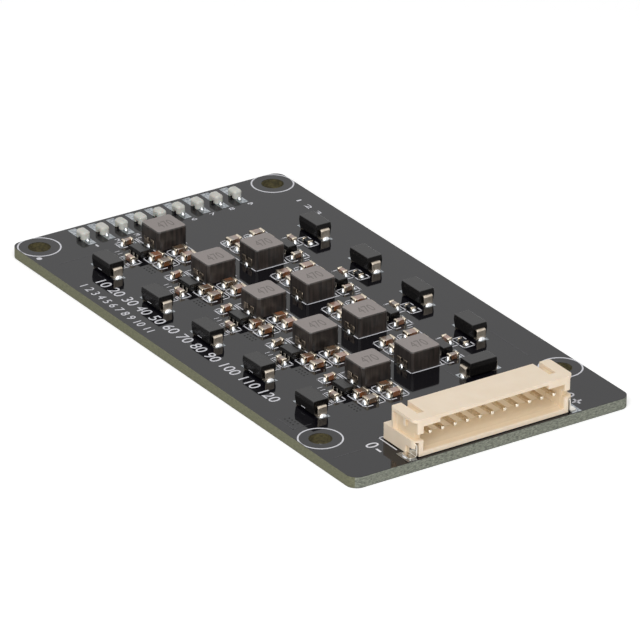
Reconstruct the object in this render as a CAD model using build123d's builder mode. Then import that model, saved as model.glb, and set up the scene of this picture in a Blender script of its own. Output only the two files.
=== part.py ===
"""Active balancer module for a ten-cell battery pack.

One board carries nine inductor channels in two facing rows, ten clamp diodes,
nine status lamps and an eleven-way side-entry header. All sizes are in
millimetres. The origin is the centre of the board's underside, X runs along
the board towards the header, Y across it and Z up to the component side.
"""

import os

from build123d import *

os.makedirs("parts", exist_ok=True)

# Board
board_length = 85.0
board_width = 45.0
board_thickness = 1.6
board_corner_radius = 1.6
mount_hole_diameter = 3.2
mount_hole_lamp_end_margin = 2.9
mount_hole_header_end_margin = 12.1
mount_hole_side_margin = 3.0

# Channels: the near row has five, the far row faces it with four a little further along
near_channel_count = 5
near_lamp_end_margin = 11.0
near_header_end_margin = 23.6
near_row_y = -4.1
far_channel_count = 4
far_row_shift = 12.35
far_row_y = 4.1

# Inductor: a pressed block with a bent terminal strap on two sides
inductor_length = 4.6
inductor_width = 4.85
inductor_height = 3.0
inductor_corner_cut = 0.35
inductor_top_chamfer = 0.15
strap_width = 2.4
strap_thickness = 0.2
strap_recess_depth = 0.12
strap_exit_height = 1.3
strap_foot_length = 1.1
strap_bend = 0.2
strap_window_width = 0.5
strap_window_height = 0.55

# Clamp diode: a moulded block with one folded lead at each end
diode_length = 4.45
diode_width = 2.5
diode_height = 2.2
diode_standoff = 0.25
diode_parting_height = 1.5
diode_draft = 5.0
lead_width = 1.4
lead_thickness = 0.2
lead_reach = 0.42
lead_foot_length = 1.0
lead_bend = 0.2

# Balancer chip: a small moulded body with three gull-wing pins on each side
chip_length = 2.9
chip_width = 1.6
chip_height = 1.15
chip_standoff = 0.1
chip_draft = 8.0
chip_pin_count = 3
chip_pin_pitch = 0.95
chip_pin_width = 0.4
chip_pin_thickness = 0.15
chip_pin_span = 2.8
chip_pin_foot_length = 0.4

# Ceramic capacitors and resistors: length, width and height, and the metal end
large_cap_length = 2.0
large_cap_width = 1.25
large_cap_height = 0.85
large_cap_end = 0.4
small_cap_length = 1.6
small_cap_width = 0.8
small_cap_height = 0.8
small_cap_end = 0.35
resistor_length = 1.6
resistor_width = 0.8
resistor_height = 0.45
resistor_end = 0.3
end_cap_step = 0.03

# Solder: how far each joint reaches over the board and how high it climbs
chip_part_solder_toe = 0.4
chip_part_solder_share = 0.65
lead_solder_toe = 0.45
lead_solder_height = 0.4
strap_solder_toe = 0.35
strap_solder_height = 0.5
lamp_solder_toe = 0.5
lamp_solder_height = 0.35
lamp_solder_width = 0.6
tail_solder_toe = 0.4
tail_solder_height = 0.35
tab_solder_toe = 0.3
tab_solder_height = 0.15

# Status lamps: one row along the end away from the header
lamp_length = 2.0
lamp_width = 1.4
lamp_height = 1.25
lamp_corner_cut = 0.3
lamp_top_cut = 0.25
lamp_notch_width = 0.6
lamp_notch_height = 0.4
lamp_count = 9
lamp_pitch = 3.17
lamp_edge_margin = 3.6
lamp_row_shift = -0.05

# Side-entry header: housing
pin_count = 11
pin_pitch = 2.0
header_end_margin = 2.85
header_front_setback = 0.5
header_shift = 0.35
header_depth = 7.1
header_height = 5.5
header_clearance = 0.1
header_foot_size = 1.2
header_foot_pitch_x = 4.0
header_foot_pitch_y = 16.0
header_base_depth = 1.5
header_base_height = 2.4
header_floor = 0.65
header_roof = 0.5
header_end_roof = 1.1
header_side_wall = 1.45
header_back_wall = 1.1
header_end_roof_length = 2.65
header_back_radius = 0.4
header_front_radius = 0.9

# Side-entry header: slots, ear pockets and latch gaps
slot_width = 1.05
slot_inset = 2.2
slot_length = 3.8
slot_depth = 0.85
pocket_back_margin = 0.6
pocket_roof = 0.45
pocket_depth = 0.55
pocket_rib_width = 0.5
pocket_rib_depth = 0.35
pocket_rib_height = 1.3
pocket_rib_setback = 2.7
latch_gap_length = 0.8
latch_gap_height = 1.0

# Side-entry header: contact pins
pin_size = 0.5
pin_clearance = 0.03
pin_height = 3.1
pin_tip_setback = 0.35
pin_tip_chamfer = 0.12
pin_bend = 0.45
pin_drop_gap = 0.1
pin_tail_length = 1.4

# Side-entry header: solder tabs
tab_thickness = 0.2
tab_length = 2.05
tab_height = 2.1
tab_front_setback = 0.05
tab_inset = 0.55
tab_foot_length = 1.2
tab_corner_radius = 0.6
tab_foot_radius = 0.3
tab_bend_radius = 0.35
tab_clearance = 0.03
tab_opening_height = 1.15

# Places worked out from the sizes above
board_top = board_thickness
near_row_length = board_length - near_lamp_end_margin - near_header_end_margin
channel_pitch = near_row_length / (near_channel_count - 1)
near_first_x = -board_length / 2 + near_lamp_end_margin
far_first_x = near_first_x + far_row_shift
near_xs = [near_first_x + i * channel_pitch for i in range(near_channel_count)]
far_xs = [far_first_x + i * channel_pitch for i in range(far_channel_count)]
near_centres = [(x, near_row_y) for x in near_xs]
far_centres = [(x, far_row_y) for x in far_xs]
mount_hole_pitch_x = board_length - mount_hole_lamp_end_margin - mount_hole_header_end_margin
mount_hole_pitch_y = board_width - 2 * mount_hole_side_margin
mount_hole_x = (mount_hole_lamp_end_margin - mount_hole_header_end_margin) / 2
header_width = (pin_count - 1) * pin_pitch + 2 * header_end_margin
header_front = board_length / 2 - header_front_setback
header_back = header_front - header_depth
header_bottom = board_top + header_clearance
header_top = board_top + header_height
pin_axis_z = board_top + pin_height
slot_offset = header_width / 2 - slot_inset
pin_ys = [header_shift + (i - (pin_count - 1) / 2) * pin_pitch for i in range(pin_count)]
pin_drop = header_back - pin_drop_gap
pin_tail_end = pin_drop - pin_size - pin_tail_length
tab_front = header_front - tab_front_setback
tab_plane = header_width / 2 - tab_inset
tab_foot_end = tab_plane + tab_foot_length
tab_opening_length = tab_length + tab_front_setback + tab_clearance

# Where each small part sits, counted from its channel's inductor: (x, y)
near_chip_offset = (1.5, -5.05)
near_large_cap_offsets = [(3.8, 0.15), (6.1, 0.15), (3.8, -3.7), (6.1, -3.7)]
near_upright_cap_offset = (-2.35, -4.55)
near_lying_cap_offset = (2.45, -7.15)
near_resistor_offset = (2.45, -9.1)
near_diode_offset = (3.6, -11.5)
far_chip_offset = (-1.1, 4.9)
far_large_cap_offsets = [(-4.75, 0.0), (-7.05, 0.0), (-4.75, 3.9), (-7.05, 3.9)]
far_upright_cap_offset = (1.6, 4.8)
far_lying_cap_offset = (-3.05, 7.05)
far_resistor_offset = (-1.7, 8.8)
far_diode_offset = (-3.7, 11.4)
end_diode_header_margin = 17.1
end_diode_place = (board_length / 2 - end_diode_header_margin, 9.5)

lamp_x = -board_length / 2 + lamp_edge_margin
lamp_first_y = lamp_row_shift - (lamp_count - 1) / 2 * lamp_pitch
lamp_places = [(lamp_x, lamp_first_y + i * lamp_pitch) for i in range(lamp_count)]


def shifted(centres, offset):
    """Channel centres moved by one part's offset."""
    return [(x + offset[0], y + offset[1]) for x, y in centres]


def both_rows(near_offsets, far_offsets):
    """Every place that a part takes in the near row, then in the far row."""
    places = []
    for offset in near_offsets:
        places += shifted(near_centres, offset)
    for offset in far_offsets:
        places += shifted(far_centres, offset)
    return places


def on_board(places, turn=0.0):
    """Locations on the board's top face, each turned about Z."""
    return [Location((x, y, board_top), (0, 0, turn)) for x, y in places]


def save(piece, name):
    """Label one finished piece and write it."""
    piece.part.label = name
    export_step(piece.part, f"parts/{name}.step")


def cut_corners(route, cut):
    """The route with a short straight bend across each of its corners."""
    points = [Vector(*point) for point in route]
    bent = [points[0]]
    for before, corner, after in zip(points, points[1:], points[2:]):
        bent.append(corner + (before - corner).normalized() * cut)
        bent.append(corner + (after - corner).normalized() * cut)
    bent.append(points[-1])
    return bent


def bent_strip(route, thickness, width, bend):
    """A flat strip that follows a route in XZ, with its face on the route."""
    with BuildPart() as strip:
        with BuildSketch(Plane.XZ):
            with BuildLine():
                Polyline(*cut_corners(route, bend))
                offset(amount=thickness, side=Side.RIGHT, kind=Kind.INTERSECTION)
            make_face()
        extrude(amount=width / 2, both=True)
    return strip.part


def moulded_block(length, width, bottom, parting, top, draft):
    """A moulded body that tapers both ways from its parting line."""
    with BuildPart() as block:
        with BuildSketch(Plane.XY.offset(parting)):
            Rectangle(length, width)
        extrude(amount=top - parting, taper=draft)
        with BuildSketch(Plane.XY.offset(parting)):
            Rectangle(length, width)
        extrude(amount=-(parting - bottom), taper=draft)
    return block.part


def build_board():
    """Rounded board with its four mounting holes."""
    with BuildPart() as board:
        with BuildSketch():
            RectangleRounded(board_length, board_width, board_corner_radius)
            with Locations((mount_hole_x, 0)):
                with GridLocations(mount_hole_pitch_x, mount_hole_pitch_y, 2, 2):
                    Circle(mount_hole_diameter / 2, mode=Mode.SUBTRACT)
        extrude(amount=board_thickness)
    return board.part


def build_inductor_body():
    """Pressed block with a shallow channel down each side for its strap."""
    channel_y = inductor_width / 2 - strap_recess_depth
    with BuildPart() as body:
        with BuildSketch():
            Rectangle(inductor_length, inductor_width)
        extrude(amount=inductor_height)
        chamfer(body.edges().filter_by(Axis.Z), inductor_corner_cut)
        chamfer(body.faces().sort_by(Axis.Z)[-1].edges(), inductor_top_chamfer)
        with BuildSketch(Plane.XZ.offset(-inductor_width / 2)):
            Rectangle(strap_width, strap_exit_height, align=(Align.CENTER, Align.MIN))
        extrude(amount=strap_recess_depth, mode=Mode.SUBTRACT)
        with BuildSketch(Plane.XZ.offset(inductor_width / 2)):
            Rectangle(strap_width, strap_exit_height, align=(Align.CENTER, Align.MIN))
        extrude(amount=-strap_recess_depth, mode=Mode.SUBTRACT)
        foot_start = channel_y - strap_foot_length
        with BuildSketch():
            with Locations((0, foot_start), (0, -foot_start - strap_foot_length)):
                Rectangle(strap_width, strap_foot_length, align=(Align.CENTER, Align.MIN))
        extrude(amount=strap_thickness, mode=Mode.SUBTRACT)
    return body.part


def build_strap():
    """Terminal strap for the side that faces +X: a leaf and a folded foot."""
    face = inductor_width / 2 - strap_recess_depth
    outer = face + strap_thickness
    with BuildPart() as strap:
        with BuildSketch(Plane.XZ):
            with BuildLine():
                Polyline(
                    (outer, strap_exit_height),
                    (outer, 0),
                    (face - strap_foot_length, 0),
                )
                offset(amount=strap_thickness, side=Side.RIGHT, kind=Kind.INTERSECTION)
            make_face()
        extrude(amount=strap_width / 2, both=True)
        across = strap.edges().filter_by(Axis.Y)
        outer_bend = across.sort_by(lambda edge: edge.center().X - edge.center().Z)[-1]
        chamfer(outer_bend, strap_bend)
        with BuildSketch(Plane.YZ.offset(face)):
            with Locations((0, strap_exit_height)):
                Rectangle(
                    strap_window_width,
                    strap_window_height,
                    align=(Align.CENTER, Align.MAX),
                )
        extrude(amount=strap_thickness, mode=Mode.SUBTRACT)
    return strap.part


def build_diode_lead():
    """Lead at the +X end: out of the parting line, down and folded under."""
    end = diode_length / 2
    outer = end + lead_reach
    exit_top = diode_parting_height
    route = [
        (end, exit_top),
        (outer, exit_top),
        (outer, 0),
        (outer - lead_foot_length, 0),
    ]
    return bent_strip(route, lead_thickness, lead_width, lead_bend)


def build_chip_pin():
    """Gull-wing pin on the +X side, with sharp bends at this size."""
    half_body = chip_width / 2
    half_span = chip_pin_span / 2
    shoulder = half_span - chip_pin_foot_length
    mid = (chip_height + chip_standoff) / 2
    step = chip_pin_thickness
    with BuildPart() as pin:
        with BuildSketch(Plane.XZ):
            with BuildLine():
                Polyline(
                    (half_body, mid),
                    (shoulder, mid),
                    (shoulder, step),
                    (half_span, step),
                    (half_span, 0),
                    (shoulder - step, 0),
                    (shoulder - step, mid - step),
                    (half_body, mid - step),
                    close=True,
                )
            make_face()
        extrude(amount=chip_pin_width / 2, both=True)
    return pin.part


def build_chip_part(length, width, height, end):
    """Body and the two end caps of a surface-mount part that lies along X."""
    with BuildPart() as body:
        with Locations((0, 0, height / 2)):
            Box(length - 2 * end, width - 2 * end_cap_step, height - 2 * end_cap_step)
    with BuildPart() as ends:
        with Locations((length / 2 - end / 2, 0, height / 2)):
            Box(end, width, height)
        with Locations((-length / 2 + end / 2, 0, height / 2)):
            Box(end, width, height)
    return body.part, ends.part


def build_solder(face, width, toe, climb):
    """Solder wedge against an end face that looks along +X."""
    with BuildPart() as wedge:
        with BuildSketch(Plane.XZ):
            with BuildLine():
                Polyline((face, 0), (face + toe, 0), (face, climb), close=True)
            make_face()
        extrude(amount=width / 2, both=True)
    return wedge.part


def build_solder_pair(face, width, toe, climb):
    """Solder wedges against the two end faces of a part that lies along X."""
    with BuildPart() as wedges:
        add(build_solder(face, width, toe, climb))
        mirror(about=Plane.YZ)
    return wedges.part


def chip_part_solder(length, width, height):
    """Solder at both ends of a chip part, climbing a share of its height."""
    climb = chip_part_solder_share * height
    return build_solder_pair(length / 2, width, chip_part_solder_toe, climb)


def build_lamp():
    """Moulded lamp with cut corners and a gap between its two feet."""
    with BuildPart() as lamp:
        with BuildSketch():
            Rectangle(lamp_length, lamp_width)
        extrude(amount=lamp_height)
        chamfer(lamp.edges().filter_by(Axis.Z), lamp_corner_cut)
        chamfer(lamp.faces().sort_by(Axis.Z)[-1].edges(), lamp_top_cut)
        with BuildSketch(Plane.XZ.offset(-lamp_width)):
            Rectangle(lamp_notch_width, lamp_notch_height, align=(Align.CENTER, Align.MIN))
        extrude(amount=2 * lamp_width, mode=Mode.SUBTRACT)
    return lamp.part


def build_housing():
    """Header housing, opening towards +X, centred on Y."""
    half_width = header_width / 2
    shell_back = header_back + header_base_depth
    base_top = board_top + header_base_height
    floor_top = header_bottom + header_floor
    cavity_half = half_width - header_side_wall
    cavity_depth = header_front - shell_back - header_back_wall
    raised_half = cavity_half - header_end_roof_length
    end_roof_bottom = header_top - header_end_roof
    pocket_length = header_front - shell_back - pocket_back_margin
    pocket_top = header_top - pocket_roof
    rib_x = header_front - pocket_rib_setback
    sides = (1, -1)

    with BuildPart() as housing:
        # Base block and upper shell in one side profile
        with BuildSketch(Plane.XZ):
            with BuildLine():
                Polyline(
                    (header_back, header_bottom),
                    (header_front, header_bottom),
                    (header_front, header_top),
                    (shell_back, header_top),
                    (shell_back, base_top),
                    (header_back, base_top),
                    close=True,
                )
            make_face()
        extrude(amount=half_width, both=True)
        upright = housing.edges().filter_by(Axis.Z).group_by(Axis.X)
        fillet(upright[1], header_back_radius)
        fillet(upright[-1], header_front_radius)

        # Socket cavity, higher in the middle than at its two ends
        with BuildSketch(Plane.YZ.offset(header_front)):
            with Locations((0, floor_top)):
                Rectangle(
                    2 * cavity_half,
                    end_roof_bottom - floor_top,
                    align=(Align.CENTER, Align.MIN),
                )
                Rectangle(
                    2 * raised_half,
                    header_top - header_roof - floor_top,
                    align=(Align.CENTER, Align.MIN),
                )
        extrude(amount=-cavity_depth, mode=Mode.SUBTRACT)

        # Two blind slots in the roof, open to the back
        with BuildSketch(Plane.XY.offset(header_top)):
            with Locations((shell_back, slot_offset), (shell_back, -slot_offset)):
                Rectangle(slot_length, slot_width, align=(Align.MIN, Align.CENTER))
        extrude(amount=-slot_depth, mode=Mode.SUBTRACT)

        # A pocket in the outside of each ear, open to the front, with one short rib
        for side in sides:
            with BuildSketch(Plane.XZ.offset(-side * half_width)):
                with Locations((header_front, pocket_top)):
                    Rectangle(
                        pocket_length, pocket_top - base_top, align=(Align.MAX, Align.MAX)
                    )
            extrude(amount=side * pocket_depth, mode=Mode.SUBTRACT)
            with BuildSketch(Plane.XZ.offset(-side * (half_width - pocket_depth))):
                with Locations((rib_x, pocket_top)):
                    Rectangle(
                        pocket_rib_width, pocket_rib_height, align=(Align.CENTER, Align.MAX)
                    )
            extrude(amount=-side * pocket_rib_depth)

            # Latch gap under the ear's front, through to the cavity
            with BuildSketch(Plane.XZ.offset(-side * half_width)):
                with Locations((header_front, base_top)):
                    Rectangle(
                        latch_gap_length, latch_gap_height, align=(Align.MAX, Align.MIN)
                    )
            extrude(amount=side * header_side_wall, mode=Mode.SUBTRACT)

            # Opening for the solder tab's foot, and the slot for its leaf
            with BuildSketch(Plane.XZ.offset(-side * half_width)):
                with Locations((header_front, header_bottom)):
                    Rectangle(
                        tab_opening_length, tab_opening_height, align=(Align.MAX, Align.MIN)
                    )
            extrude(amount=side * tab_inset, mode=Mode.SUBTRACT)
            with BuildSketch(Plane.XY.offset(header_bottom)):
                with Locations((header_front, side * tab_plane)):
                    Rectangle(
                        tab_opening_length,
                        2 * (tab_thickness + tab_clearance),
                        align=(Align.MAX, Align.CENTER),
                    )
            extrude(amount=tab_height, mode=Mode.SUBTRACT)

        # Openings for the pins through the back wall
        with BuildSketch(Plane.YZ.offset(shell_back)):
            with Locations((0, pin_axis_z)):
                with GridLocations(pin_pitch, pin_pitch, pin_count, 1):
                    Rectangle(pin_size + 2 * pin_clearance, pin_size + 2 * pin_clearance)
        extrude(amount=header_back_wall, mode=Mode.SUBTRACT)

        # Feet that hold the housing just clear of the board
        with BuildSketch(Plane.XY.offset(board_top)):
            with Locations(((header_back + header_front) / 2, 0)):
                with GridLocations(header_foot_pitch_x, header_foot_pitch_y, 2, 2):
                    Rectangle(header_foot_size, header_foot_size)
        extrude(amount=header_clearance)
    return housing.part


def build_pin():
    """Square contact pin: straight through the wall, down and back to its foot."""
    tip = header_front - pin_tip_setback
    top = pin_axis_z + pin_size / 2
    route = [
        (pin_tail_end, board_top + pin_size),
        (pin_drop - pin_size, board_top + pin_size),
        (pin_drop - pin_size, top),
        (tip, top),
    ]
    with BuildPart() as pin:
        add(bent_strip(route, pin_size, pin_size, pin_bend))
        chamfer(pin.faces().sort_by(Axis.X)[-1].edges(), pin_tip_chamfer)
    return pin.part


def build_tab(side):
    """Solder tab on one end of the header: a leaf in its slot and a foot outside."""
    with BuildPart() as tab:
        with BuildSketch(Plane.YZ.offset(tab_front)):
            with BuildLine():
                FilletPolyline(
                    (side * tab_plane, board_top + tab_height),
                    (side * tab_plane, board_top),
                    (side * tab_foot_end, board_top),
                    radius=tab_bend_radius,
                )
                offset(amount=tab_thickness, side=Side.LEFT if side > 0 else Side.RIGHT)
            make_face()
        extrude(amount=-tab_length)
        leaf_corners = tab.edges().filter_by(Axis.Y).group_by(Axis.Z)[-1]
        fillet(leaf_corners, tab_corner_radius)
        foot_corners = tab.edges().filter_by(Axis.Z).group_by(Axis.Y)
        fillet(foot_corners[-1 if side > 0 else 0], tab_foot_radius)
    return tab.part


def main():
    """Build every piece and write it."""
    with BuildPart() as circuit_board:
        add(build_board())
    save(circuit_board, "circuit_board")

    # Header housing, its pins and its two solder tabs
    with BuildPart() as connector_housing:
        with Locations((0, header_shift, 0)):
            add(build_housing())
    save(connector_housing, "connector_housing")

    pin = build_pin()
    for number, pin_y in enumerate(pin_ys, start=1):
        with BuildPart() as contact_pin:
            with Locations((0, pin_y, 0)):
                add(pin)
        save(contact_pin, f"contact_pin_{number:02d}")

    for side, name in ((-1, "solder_tab_near"), (1, "solder_tab_far")):
        with BuildPart() as solder_tab:
            with Locations((0, header_shift, 0)):
                add(build_tab(side))
        save(solder_tab, name)

    # Inductor blocks
    inductor_places = near_centres + far_centres
    inductor = build_inductor_body()
    for number, place in enumerate(on_board(inductor_places), start=1):
        with BuildPart() as inductor_body:
            with Locations(place):
                add(inductor)
        save(inductor_body, f"inductor_{number}")

    # Balancer chips
    chip_places = both_rows([near_chip_offset], [far_chip_offset])
    chip_middle = (chip_height + chip_standoff) / 2
    chip = moulded_block(
        chip_length, chip_width, chip_standoff, chip_middle, chip_height, chip_draft
    )
    for number, place in enumerate(on_board(chip_places), start=1):
        with BuildPart() as balancer_chip:
            with Locations(place):
                add(chip)
        save(balancer_chip, f"balancer_chip_{number}")

    # Clamp diodes: nine along the rows and one across the board's end
    row_diode_places = both_rows([near_diode_offset], [far_diode_offset])
    diode_locations = on_board(row_diode_places) + on_board([end_diode_place], 90)
    diode = moulded_block(
        diode_length,
        diode_width,
        diode_standoff,
        diode_parting_height,
        diode_height,
        diode_draft,
    )
    for number, place in enumerate(diode_locations, start=1):
        with BuildPart() as clamp_diode:
            with Locations(place):
                add(diode)
        save(clamp_diode, f"clamp_diode_{number:02d}")

    # Status lamps
    lamp = build_lamp()
    for number, place in enumerate(on_board(lamp_places), start=1):
        with BuildPart() as status_lamp:
            with Locations(place):
                add(lamp)
        save(status_lamp, f"status_lamp_{number}")

    # Terminal straps, two to an inductor
    strap = build_strap()
    with BuildPart() as inductor_terminals:
        with Locations(*on_board(inductor_places, 90), *on_board(inductor_places, -90)):
            add(strap)
    save(inductor_terminals, "inductor_terminals")

    # Folded leads, two to a diode
    lead = build_diode_lead()
    with BuildPart() as diode_leads:
        with Locations(*diode_locations):
            add(lead)
            add(lead.rotate(Axis.Z, 180))
    save(diode_leads, "diode_leads")

    # Gull-wing pins, six to a chip
    chip_pin = build_chip_pin()
    with BuildPart() as chip_pins:
        with Locations(*on_board(chip_places, 90), *on_board(chip_places, -90)):
            with GridLocations(chip_pin_pitch, chip_pin_pitch, 1, chip_pin_count):
                add(chip_pin)
    save(chip_pins, "chip_pins")

    # Capacitors and resistors
    upright_large = on_board(both_rows(near_large_cap_offsets, far_large_cap_offsets), 90)
    upright_small = on_board(both_rows([near_upright_cap_offset], [far_upright_cap_offset]), 90)
    lying_small = on_board(both_rows([near_lying_cap_offset], [far_lying_cap_offset]))
    lying_resistors = on_board(both_rows([near_resistor_offset], [far_resistor_offset]))
    large_body, large_ends = build_chip_part(
        large_cap_length, large_cap_width, large_cap_height, large_cap_end
    )
    small_body, small_ends = build_chip_part(
        small_cap_length, small_cap_width, small_cap_height, small_cap_end
    )
    resistor_body, resistor_ends = build_chip_part(
        resistor_length, resistor_width, resistor_height, resistor_end
    )
    with BuildPart() as large_capacitors:
        with Locations(*upright_large):
            add(large_body)
    save(large_capacitors, "large_capacitors")

    with BuildPart() as small_capacitors:
        with Locations(*upright_small, *lying_small):
            add(small_body)
    save(small_capacitors, "small_capacitors")

    with BuildPart() as resistors:
        with Locations(*lying_resistors):
            add(resistor_body)
    save(resistors, "resistors")

    with BuildPart() as end_caps:
        with Locations(*upright_large):
            add(large_ends)
        with Locations(*upright_small, *lying_small):
            add(small_ends)
        with Locations(*lying_resistors):
            add(resistor_ends)
    save(end_caps, "end_caps")

    # Solder wedges at every end that is soldered down
    strap_outer = inductor_width / 2 - strap_recess_depth + strap_thickness
    lead_outer = diode_length / 2 + lead_reach
    tab_middle = tab_front - tab_length / 2
    tab_solder_width = tab_length - 2 * tab_foot_radius
    lamp_joint = build_solder_pair(
        lamp_length / 2, lamp_solder_width, lamp_solder_toe, lamp_solder_height
    )
    tail_joint = build_solder(0, pin_size, tail_solder_toe, tail_solder_height)
    tab_joint = build_solder(tab_foot_end, tab_solder_width, tab_solder_toe, tab_solder_height)
    with BuildPart() as solder_fillets:
        with Locations(*upright_large):
            add(chip_part_solder(large_cap_length, large_cap_width, large_cap_height))
        with Locations(*upright_small, *lying_small):
            add(chip_part_solder(small_cap_length, small_cap_width, small_cap_height))
        with Locations(*lying_resistors):
            add(chip_part_solder(resistor_length, resistor_width, resistor_height))
        with Locations(*on_board(inductor_places, 90)):
            add(build_solder_pair(strap_outer, strap_width, strap_solder_toe, strap_solder_height))
        with Locations(*diode_locations):
            add(build_solder_pair(lead_outer, lead_width, lead_solder_toe, lead_solder_height))
        with Locations(*on_board(lamp_places)):
            add(lamp_joint)
        with Locations(*on_board([(pin_tail_end, pin_y) for pin_y in pin_ys], 180)):
            add(tail_joint)
        tab_place = [(tab_middle, header_shift)]
        with Locations(*on_board(tab_place, 90), *on_board(tab_place, -90)):
            add(tab_joint)
    save(solder_fillets, "solder_fillets")


main()
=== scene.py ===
"""Looks of the battery balancer: finishes, print, solder, light and camera."""

import math

import bmesh
import bpy
from mathutils import Matrix, Vector


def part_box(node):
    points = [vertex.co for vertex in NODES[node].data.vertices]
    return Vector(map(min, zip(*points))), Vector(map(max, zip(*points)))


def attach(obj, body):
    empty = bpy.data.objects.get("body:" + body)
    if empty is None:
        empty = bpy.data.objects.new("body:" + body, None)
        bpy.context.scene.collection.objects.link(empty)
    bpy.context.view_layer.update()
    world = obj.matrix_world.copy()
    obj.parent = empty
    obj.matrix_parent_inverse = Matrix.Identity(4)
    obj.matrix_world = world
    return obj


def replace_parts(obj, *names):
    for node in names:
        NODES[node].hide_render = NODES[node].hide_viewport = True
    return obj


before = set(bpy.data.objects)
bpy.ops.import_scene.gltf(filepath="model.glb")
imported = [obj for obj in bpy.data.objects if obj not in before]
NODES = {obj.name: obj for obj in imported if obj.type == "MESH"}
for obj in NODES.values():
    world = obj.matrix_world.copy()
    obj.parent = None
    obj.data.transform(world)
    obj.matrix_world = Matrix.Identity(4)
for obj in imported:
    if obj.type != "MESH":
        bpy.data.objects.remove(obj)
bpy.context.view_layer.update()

MM = 0.001
CHANNELS = 9
NEAR_CHANNELS = 5
DIODES = 10
PINS = 11
LAMPS = 9

board_low, board_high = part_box("circuit_board")
BOARD_TOP = board_high.z

# Solder-mask thickness over each face of the board, and the heights of ink and pads on it
MASK = 0.035 * MM
INK = 0.02 * MM
PAD = 0.03 * MM

# Small parts of a channel, in millimetres from the middle of its inductor. A small
# capacitor also says whether it lies along Y.
NEAR_LARGE = [(3.8, 0.15), (6.1, 0.15), (3.8, -3.7), (6.1, -3.7)]
NEAR_SMALL = [(-2.35, -4.55, True), (2.45, -7.15, False)]
NEAR_RESISTOR = (2.45, -9.1)
NEAR_CHIP = (1.5, -5.05)
FAR_LARGE = [(-4.75, 0.0), (-7.05, 0.0), (-4.75, 3.9), (-7.05, 3.9)]
FAR_SMALL = [(1.6, 4.8, True), (-3.05, 7.05, False)]
FAR_RESISTOR = (-1.7, 8.8)
FAR_CHIP = (-1.1, 4.9)
NEAR_PARTS = (NEAR_LARGE, NEAR_SMALL, NEAR_RESISTOR, NEAR_CHIP)
FAR_PARTS = (FAR_LARGE, FAR_SMALL, FAR_RESISTOR, FAR_CHIP)

# Turns about Z that point a joint out along each axis
OUT_Y = 0.0
OUT_LESS_Y = math.pi
OUT_X = -math.pi / 2
OUT_LESS_X = math.pi / 2


def middle(node):
    """The centre of a CAD node's box."""
    low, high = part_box(node)
    return (low + high) / 2


def channel(number):
    """The middle of a channel's inductor, and the offsets of the parts round it."""
    parts = NEAR_PARTS if number <= NEAR_CHANNELS else FAR_PARTS
    return middle(f"inductor_{number}"), *parts


def beside(centre, offset, shift=(0.0, 0.0)):
    """The place at an offset in millimetres from a centre, with a shift in metres."""
    return centre.x + offset[0] * MM + shift[0], centre.y + offset[1] * MM + shift[1]


# Materials


def colour(code):
    """An sRGB hex colour as linear red, green, blue and alpha."""
    linear = []
    for place in (1, 3, 5):
        value = int(code[place:place + 2], 16) / 255
        linear.append(value / 12.92 if value <= 0.04045 else ((value + 0.055) / 1.055) ** 2.4)
    return (*linear, 1.0)


def add_node(material, kind, inputs=None, **settings):
    """Add a node with its settings to a material or the world; an input is a value or a
    socket to link from."""
    tree = material.node_tree
    made = tree.nodes.new("ShaderNode" + kind)
    for name, value in settings.items():
        setattr(made, name, value)
    for name, value in (inputs or {}).items():
        if isinstance(value, bpy.types.NodeSocket):
            tree.links.new(value, made.inputs[name])
        else:
            made.inputs[name].default_value = value
    return made


def new_material(name, **values):
    """A material, its shader with uniform values on its own sockets, and the place on the
    object that its patterns follow."""
    material = bpy.data.materials.new(name)
    material.use_nodes = True
    shader = material.node_tree.nodes["Principled BSDF"]
    for socket, value in values.items():
        shader.inputs[socket.replace("_", " ")].default_value = value
    return material, shader, add_node(material, "TexCoord").outputs["Object"]


def link(material, source, target):
    material.node_tree.links.new(source, target)


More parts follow.
